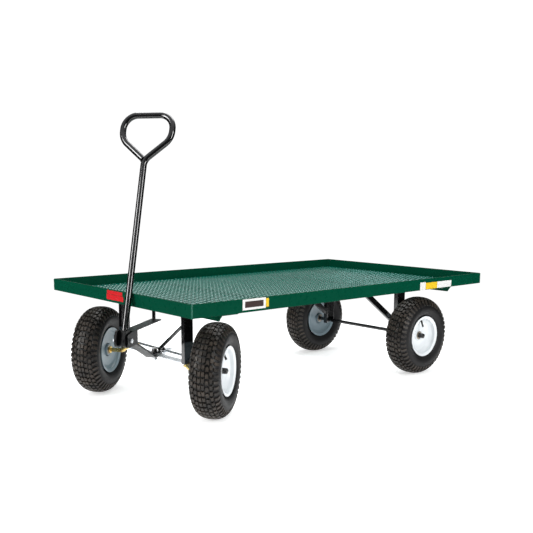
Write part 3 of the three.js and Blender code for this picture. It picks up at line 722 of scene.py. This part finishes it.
def build_bearing(name, place, body, node, start):
    """A bearing's outer ring, a dark seal groove and its inner ring, in one turned piece."""
    radius, bore, groove = BEARING["radius"], BEARING["bore"], BEARING["groove"]
    end = start + BEARING["width"]
    outer_ring, inner_ring, slope, edge = 0.0030, 0.0024, 0.0006, 0.0004
    rings = [(bore, start), (radius, start), (radius, end), (radius - outer_ring, end),
             (radius - outer_ring - slope, end - groove), (bore + inner_ring + slope, end - groove),
             (bore + inner_ring, end), (bore, end)]
    bm = bmesh.new()
    turned(bm, rounded_outline(rings, edge, 2), 48, place)
    add_piece(f"{name}_bearing_ring", bm, ["bearing_steel"], body, [node], sharp=50)


def build_valve_stem(name, place, body):
    """A snap-in valve: rubber foot, tapered stem and ribbed cap, leaning from the bowl's wall to the hub."""
    foot = Matrix.Translation(VALVE["place"]) @ Matrix.Rotation(-VALVE["lean"], 4, "X")
    profile = list(VALVE["foot"])
    for i in range(VALVE["ribs"]):
        start = VALVE["rib_start"] + VALVE["rib_pitch"] * i
        profile += [(VALVE["ridge"], start + 0.0002), (VALVE["ridge"], start + 0.0012),
                    (VALVE["groove"], start + 0.0015)]
    bm = bmesh.new()
    turned(bm, profile + VALVE["end"], 24, place @ foot, closed=False)
    bmesh.ops.remove_doubles(bm, verts=bm.verts, dist=1e-6)
    add_piece(f"{name}_valve", bm, ["rubber"], body, [f"{name}_valve_stem"])


def build_hub_cap(name, place, body):
    """A push-on cap over the axle's end, with a small rolled foot and a domed end."""
    start = HUB["outboard"] + HUB_CAP["clearance"]
    end = start + HUB_CAP["length"]
    radius, foot, dome = HUB_CAP["radius"], HUB_CAP["foot"], HUB_CAP["dome"]
    body_radius = radius - HUB_CAP["step"]
    bore, bore_end = AXLE_RADIUS + HUB_CAP["fit"], start + HUB_CAP["depth"]
    slope, crown = 0.0007, 0.0012
    profile = [(bore, start), (radius, start), (radius, start + foot), (body_radius, start + foot + slope)]
    steps = 8
    for i in range(steps + 1):
        angle = math.pi / 2 * i / steps
        out, along = dome * (math.cos(angle) - 1), dome * (math.sin(angle) - 1)
        profile.append((body_radius + out, end - crown + along))
    profile += [(HUB_CAP["tip"], end), (0.0, end), (0.0, bore_end), (bore, bore_end)]
    bm = bmesh.new()
    turned(bm, profile, 32, place)
    bmesh.ops.remove_doubles(bm, verts=bm.verts, dist=1e-6)
    add_piece(f"{name}_domed_cap", bm, ["black_plastic"], body, [f"{name}_hub_cap"], sharp=50)


def build_wheels():
    """Every wheel is built about its own spin joint; its hub cap stays with the axle."""
    outer_start = HUB["outboard"] - BEARING["inset"] - BEARING["width"]
    inner_start = HUB["inboard"] - BEARING["inset"] - BEARING["width"]
    for name, side in (("front_left", 1), ("front_right", -1), ("rear_left", 1), ("rear_right", -1)):
        joint = JOINTS[f"{name}_spin"]
        place = frame_at(joint["pos_m"], side * Vector(joint["axis"]))
        body = joint["child"]
        build_tyre(name, place, body)
        build_rim(name, place, body)
        build_bearing(f"{name}_outer", place, body, f"{name}_outer_bearing", outer_start)
        inward = place @ Matrix.Rotation(math.pi, 4, "Z")
        build_bearing(f"{name}_inner", inward, body, f"{name}_inner_bearing", inner_start)
        build_valve_stem(name, place, body)
        build_hub_cap(name, place, joint["parent"])


# ------------------------------------------------------------------ steering


def build_stub_axle(name, side):
    """One bent bar: kingpin above, spindle below, with a collar and a flat steering arm."""
    joint = JOINTS[f"{name}_spin"]
    knuckle = JOINTS[f"{'left' if side > 0 else 'right'}_knuckle"]
    pivot = Vector(knuckle["pos_m"])
    place = frame_at((pivot.x, pivot.y, 0), side * Vector(joint["axis"]))
    height = joint["pos_m"][2]
    offset = KINGPIN["wheel_offset"]
    tip = offset + HUB["outboard"] + KINGPIN["past_hub"]
    path = bent_path([(0, 0, KINGPIN["top"]), (0, 0, height), (0, tip, height)], [KINGPIN["bend"]], 0.002)
    bm = bmesh.new()
    rod(bm, path, [AXLE_RADIUS] * len(path), place, 28, ROD_CHAMFER)
    end = offset - HUB["inboard"] - COLLAR["clearance"]
    start = end - COLLAR["width"]
    bore, radius = COLLAR["bore"], COLLAR["radius"]
    collar = [(bore, start), (radius, start), (radius, end), (bore, end)]
    turned(bm, rounded_outline(collar, 0.001, 3), 36, place @ Matrix.Translation((0, 0, height)))
    backwards = -1 if side > 0 else 1
    arm_plate(bm, place, backwards)
    add_piece(f"{name}_bent_axle", bm, ["yellow_zinc"], knuckle["child"], [f"{name}_stub_axle"], sharp=50)


def arm_plate(bm, place, direction):
    """A flat strap with round ends from the kingpin to the tie rod's pin."""
    half = ARM["width"] / 2
    outline = []
    steps = 12
    for centre, start in ((0.0, math.pi / 2), (ARM["length"], -math.pi / 2)):
        for i in range(steps + 1):
            angle = start + math.pi * i / steps
            outline.append((direction * (centre + half * math.cos(angle)), half * math.sin(angle)))
    low, high = ARM["bottom"], ARM["bottom"] + ARM["steel"]
    lower = [bm.verts.new(place @ Vector((x, y, low))) for x, y in outline]
    upper = [bm.verts.new(place @ Vector((x, y, high))) for x, y in outline]
    count = len(outline)
    edges = []
    for i in range(count):
        face = bm.faces.new((lower[i], lower[(i + 1) % count], upper[(i + 1) % count], upper[i]))
        edges += [face.edges[0], face.edges[2]]
    bm.faces.new(lower)
    bm.faces.new(upper)
    bmesh.ops.bevel(bm, geom=edges, offset=THIN_EDGE, segments=2, profile=0.5, affect="EDGES")


def build_handle():
    """The pull handle: one rod bent into a closed loop, its end welded back to the neck."""
    joint = JOINTS["handle_pitch"]
    axis = Vector(joint["axis"])
    heading = math.atan2(-axis.x, axis.y)
    place = (Matrix.Translation(Vector(joint["pos_m"])) @ Matrix.Rotation(heading, 4, "Z")
             @ Matrix.Rotation(-HANDLE["lean"], 4, "Y"))
    half, shoulder, length, neck = (HANDLE[k] for k in ("half_width", "shoulder", "length", "neck"))
    end = Vector(HANDLE["end"])
    corners = [(0, 0, HANDLE["foot"]), (0, 0, neck), (0, half, shoulder), (0, half, length),
               (0, -half, length), (0, -half, shoulder), end]
    bends = [HANDLE[k] for k in ("neck_bend", "side_bend", "top_bend", "top_bend", "side_bend")]
    path = bent_path(corners, bends, 0.003)
    bm = bmesh.new()
    rod(bm, path, [HANDLE["radius"]] * len(path), place, 32, ROD_CHAMFER)
    along = (end - Vector(corners[-2])).normalized()
    weld_ring(bm, end, along, HANDLE["radius"], HANDLE["weld"], place)
    add_piece("bent_pull_handle", bm, ["black_paint"], "handle_body", ["handle"])


def build_steering():
    for name, side in (("front_left", 1), ("front_right", -1)):
        build_stub_axle(name, side)
    build_handle()
    for node in ("yoke", "handle_fork"):
        rounded_copy(node, THIN_EDGE, "satin_black")
    for node in ("steering_lever", "axle_strap", "tie_rod", "centre_brace"):
        rounded_copy(node, THIN_EDGE)
    rounded_copy("handle_nut", SMALL_EDGE, "dull_zinc")
    for node in ("handle_bolt", "lever_bolt", "lever_nut", "pivot_bolt", "pivot_nut", "left_arm_bolt",
                 "right_arm_bolt", "steering_post"):
        rounded_copy(node, SMALL_EDGE)


def build_legs():
    for node in ("front_left_leg", "front_right_leg", "rear_left_leg", "rear_right_leg", "rear_left_brace",
                 "rear_right_brace"):
        rounded_copy(node)
    rounded_copy("rear_axle", SMALL_EDGE)
    leg_welds()


def leg_welds():
    """Beads where the legs meet the cross members and where the rear braces meet the legs."""
    bm = bmesh.new()
    bead, short = LEG_WELD["radius"], LEG_WELD["short"]
    for node in ("front_left_leg", "front_right_leg", "rear_left_leg", "rear_right_leg"):
        low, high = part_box(node)
        top = high.z + LEG_WELD["lift"]
        outer = high.y if high.y > 0 else low.y
        weld_bead(bm, (low.x + short, outer, top), (high.x - short, outer, top), bead)
        for x in (low.x, high.x):
            weld_bead(bm, (x, low.y + short, top), (x, high.y - short, top), bead)
    for side in ("left", "right"):
        low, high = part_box(f"rear_{side}_brace")
        x = low.x + BRACE_WELD["inset"]
        for y in (low.y, high.y):
            weld_bead(bm, (x, y, low.z + BRACE_WELD["bottom"]), (x, y, low.z + BRACE_WELD["top"]),
                      BRACE_WELD["radius"])
    add_piece("leg_welds", bm, ["black_paint"], "chassis")


# ------------------------------------------------------------------ studio


def add_area_light(name, place, size, power):
    """A white rectangular light that faces the middle of the cart."""
    target = Vector((0, 0, 0.4))
    data = bpy.data.lights.new(name, "AREA")
    data.shape = "RECTANGLE"
    data.size, data.size_y = size
    data.energy = power
    light = bpy.data.objects.new(name, data)
    light.location = place
    light.rotation_euler = (target - Vector(place)).to_track_quat("-Z", "Y").to_euler()
    bpy.context.scene.collection.objects.link(light)


def build_world():
    """White behind the cart, dimmer overhead, dark to either side; the camera itself sees plain white."""
    world = bpy.data.worlds.new("studio")
    world.use_nodes = True
    tree = world.node_tree

    def node(kind, **inputs):
        made = tree.nodes.new(kind)
        for name, value in inputs.items():
            made.inputs[name.replace("_", " ")].default_value = value
        return made

    towards = tree.nodes.new("ShaderNodeTexCoord").outputs["Generated"]
    behind = tree.nodes.new("ShaderNodeVectorMath")
    behind.operation = "DOT_PRODUCT"
    behind.inputs[1].default_value = BACKDROP
    tree.links.new(towards, behind.inputs[0])
    split = tree.nodes.new("ShaderNodeSeparateXYZ")
    tree.links.new(towards, split.inputs["Vector"])
    backdrop = node("ShaderNodeMapRange", From_Min=0.90, From_Max=0.975, To_Min=0.04, To_Max=1.0)
    overhead = node("ShaderNodeMapRange", From_Min=0.30, From_Max=0.75, To_Min=0.04, To_Max=0.80)
    tree.links.new(behind.outputs["Value"], backdrop.inputs["Value"])
    tree.links.new(split.outputs["Z"], overhead.inputs["Value"])
    brighter = tree.nodes.new("ShaderNodeMath")
    brighter.operation = "MAXIMUM"
    tree.links.new(backdrop.outputs["Result"], brighter.inputs[0])
    tree.links.new(overhead.outputs["Result"], brighter.inputs[1])

    light = node("ShaderNodeBackground", Color=(0.96, 0.98, 1, 1))
    tree.links.new(brighter.outputs["Value"], light.inputs["Strength"])
    seen = tree.nodes["Background"]
    seen.inputs["Color"].default_value = (1, 1, 1, 1)
    seen.inputs["Strength"].default_value = 1.05
    path = tree.nodes.new("ShaderNodeLightPath")
    mix = tree.nodes.new("ShaderNodeMixShader")
    tree.links.new(path.outputs["Is Camera Ray"], mix.inputs["Fac"])
    tree.links.new(light.outputs["Background"], mix.inputs[1])
    tree.links.new(seen.outputs["Background"], mix.inputs[2])
    tree.links.new(mix.outputs["Shader"], tree.nodes["World Output"].inputs["Surface"])
    bpy.context.scene.world = world


def build_floor():
    """A round white floor, lit a little from within like a sweep on a light table."""
    bm = bmesh.new()
    bmesh.ops.create_circle(bm, cap_ends=True, segments=96, radius=FLOOR_RADIUS)
    mesh = bpy.data.meshes.new("studio_floor")
    bm.to_mesh(mesh)
    bm.free()
    mesh.materials.append(plain_floor())
    floor = bpy.data.objects.new("studio_floor", mesh)
    bpy.context.scene.collection.objects.link(floor)


def build_studio():
    build_floor()
    build_world()
    for name, (place, size, power) in LIGHTS.items():
        add_area_light(name, place, size, power)
    bpy.context.scene.view_settings.view_transform = "Standard"


def build_camera():
    """The photograph's view: from the front left, a little above the deck."""
    heading, dip, roll = CAMERA["heading"], CAMERA["dip"], CAMERA["roll"]
    ahead = Vector((math.cos(heading) * math.cos(dip), math.sin(heading) * math.cos(dip), -math.sin(dip)))
    level = ahead.cross(UP).normalized()
    upright = level.cross(ahead)
    right = level * math.cos(roll) + upright * math.sin(roll)
    above = upright * math.cos(roll) - level * math.sin(roll)
    data = bpy.data.cameras.new("camera")
    data.sensor_width = CAMERA["sensor"]
    data.lens = CAMERA["lens"]
    data.shift_x, data.shift_y = CAMERA["shift"]
    camera = bpy.data.objects.new("camera", data)
    turn = Matrix((right, above, -ahead)).transposed().to_4x4()
    camera.matrix_world = Matrix.Translation(CAMERA["place"]) @ turn
    bpy.context.scene.collection.objects.link(camera)
    bpy.context.scene.camera = camera


build_deck()
build_legs()
build_wheels()
build_steering()
build_studio()
build_camera()
